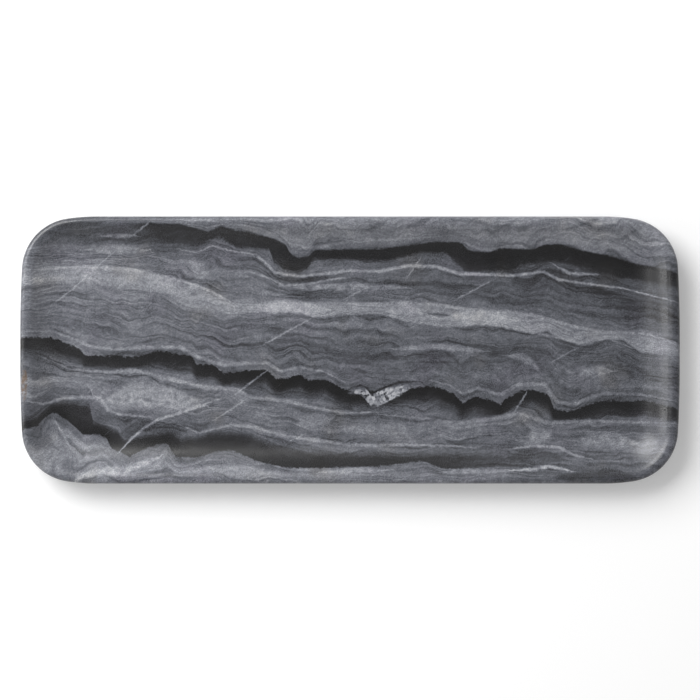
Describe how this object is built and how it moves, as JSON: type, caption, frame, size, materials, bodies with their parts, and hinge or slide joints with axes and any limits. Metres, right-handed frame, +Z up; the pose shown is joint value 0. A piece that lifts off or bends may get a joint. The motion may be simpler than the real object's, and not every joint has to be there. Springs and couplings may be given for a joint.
{
  "type": "stone dry-brewing tea tray",
  "caption": "Low oblong stone tray with rounded corners, a raised smooth rim and a shallow flat well, on small round rubber pads.",
  "frame": {"origin": "under the middle of the tray, on the surface that the pads stand on", "axes": "+X along the tray, +Y across it towards the rear side, +Z up out of the well"},
  "size_m": [0.4, 0.162, 0.02],
  "materials": {
    "stone": "honed satin, banded grey marble with dark and pale veins",
    "pad": "matt"
  },
  "bodies": {
    "root": {"stone_tray": "stone", "pad_front_left": "pad", "pad_front_right": "pad", "pad_rear_left": "pad", "pad_rear_right": "pad"}
  },
  "joints": []
}
